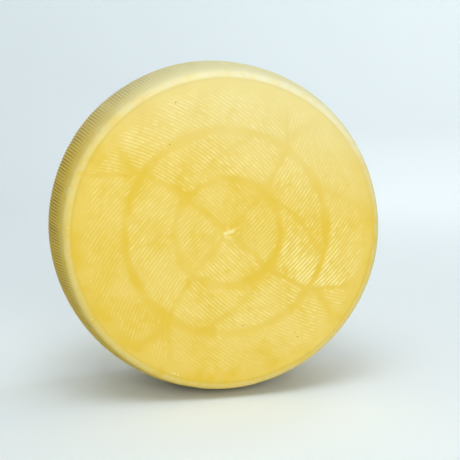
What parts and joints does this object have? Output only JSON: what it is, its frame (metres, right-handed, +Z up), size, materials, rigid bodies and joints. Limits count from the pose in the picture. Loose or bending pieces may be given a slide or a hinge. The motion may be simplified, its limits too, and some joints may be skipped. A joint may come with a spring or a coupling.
{
  "type": "whole wheel of peppered sheep's milk cheese",
  "caption": "Whole round cheese standing on its ribbed wall, with moulded faces of ridged patches and ring grooves; display or shop food.",
  "frame": {"origin": "middle of the small flat spot under the wheel that it stands on", "axes": "+Z up, +Y along the wheel's axis from the shown face to the back face, +X to the right as the shown face is seen"},
  "size_m": [0.32, 0.142, 0.3188],
  "materials": {
    "rind": "pale yellow, lightly oiled, satin cheese rind"
  },
  "bodies": {
    "root": {"cheese_wheel": "rind"}
  },
  "joints": []
}
